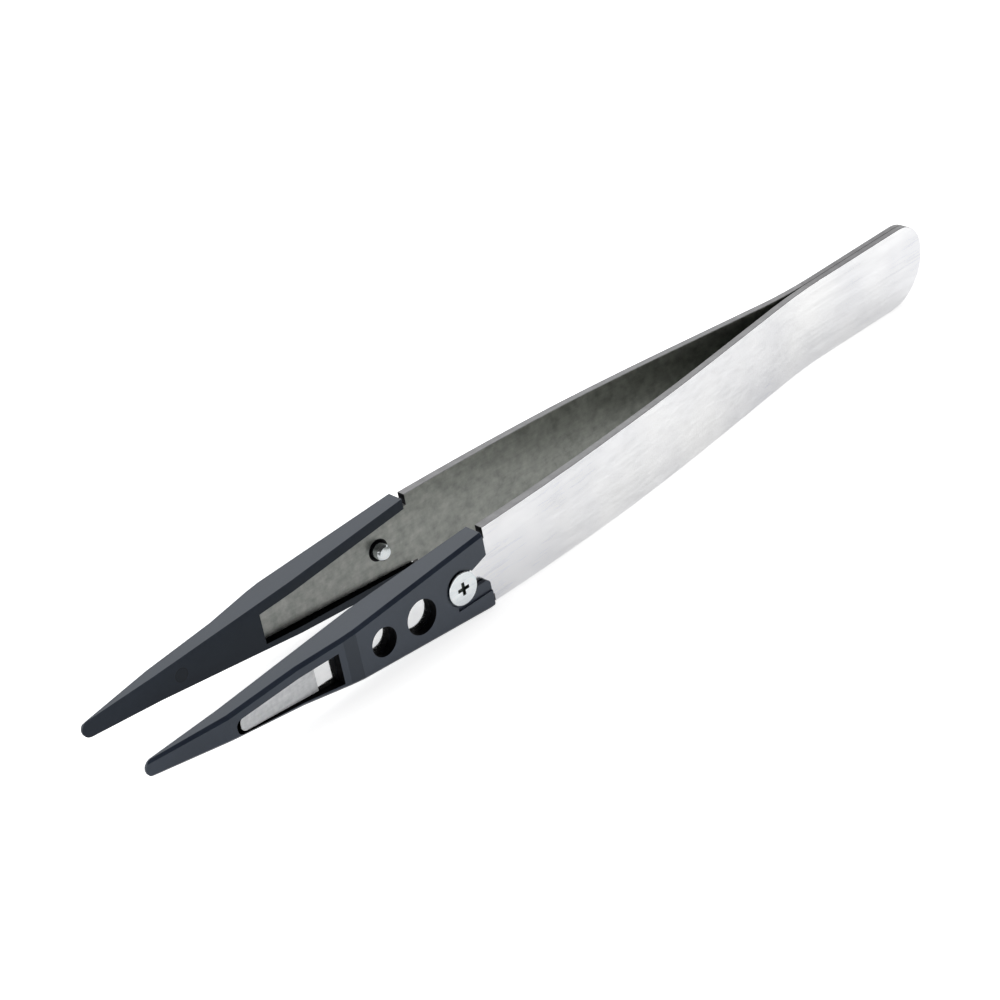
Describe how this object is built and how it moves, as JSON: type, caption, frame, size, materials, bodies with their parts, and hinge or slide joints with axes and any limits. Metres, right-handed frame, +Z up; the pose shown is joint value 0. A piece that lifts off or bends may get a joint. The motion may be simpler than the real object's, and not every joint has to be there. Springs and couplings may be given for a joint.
{
  "type": "tweezers",
  "caption": "Spring-steel tweezers whose bowed arms meet in a flat, rounded heel and hold slim, dark plastic tips that are fixed by cross-head screws.",
  "frame": {"origin": "middle of the overall box, on the ground under the lower blade edges", "axes": "+X from the points towards the heel, +Y from the near arm to the far arm, +Z up across the width of the blades"},
  "size_m": [0.129, 0.0176, 0.0105],
  "materials": {
    "arm_steel": "satin, finely brushed stainless steel",
    "tip_plastic": "dark slate moulded plastic with a faint sheen",
    "screw_steel": "bright turned stainless steel"
  },
  "bodies": {
    "near_side": {"arm_near": "arm_steel", "tip_near": "tip_plastic", "screw_near": "screw_steel"},
    "far_side": {"arm_far": "arm_steel", "tip_far": "tip_plastic", "screw_far": "screw_steel"}
  },
  "joints": [
    {"name": "squeeze", "type": "hinge", "parent": "near_side", "child": "far_side", "pos_m": [0.0449, 0, 0.00505], "axis": [0, 0, 1], "range_deg": [0, 5.9], "stiffness_Nm_per_rad": 1.2, "deforming": ["arm_far"]}
  ]
}
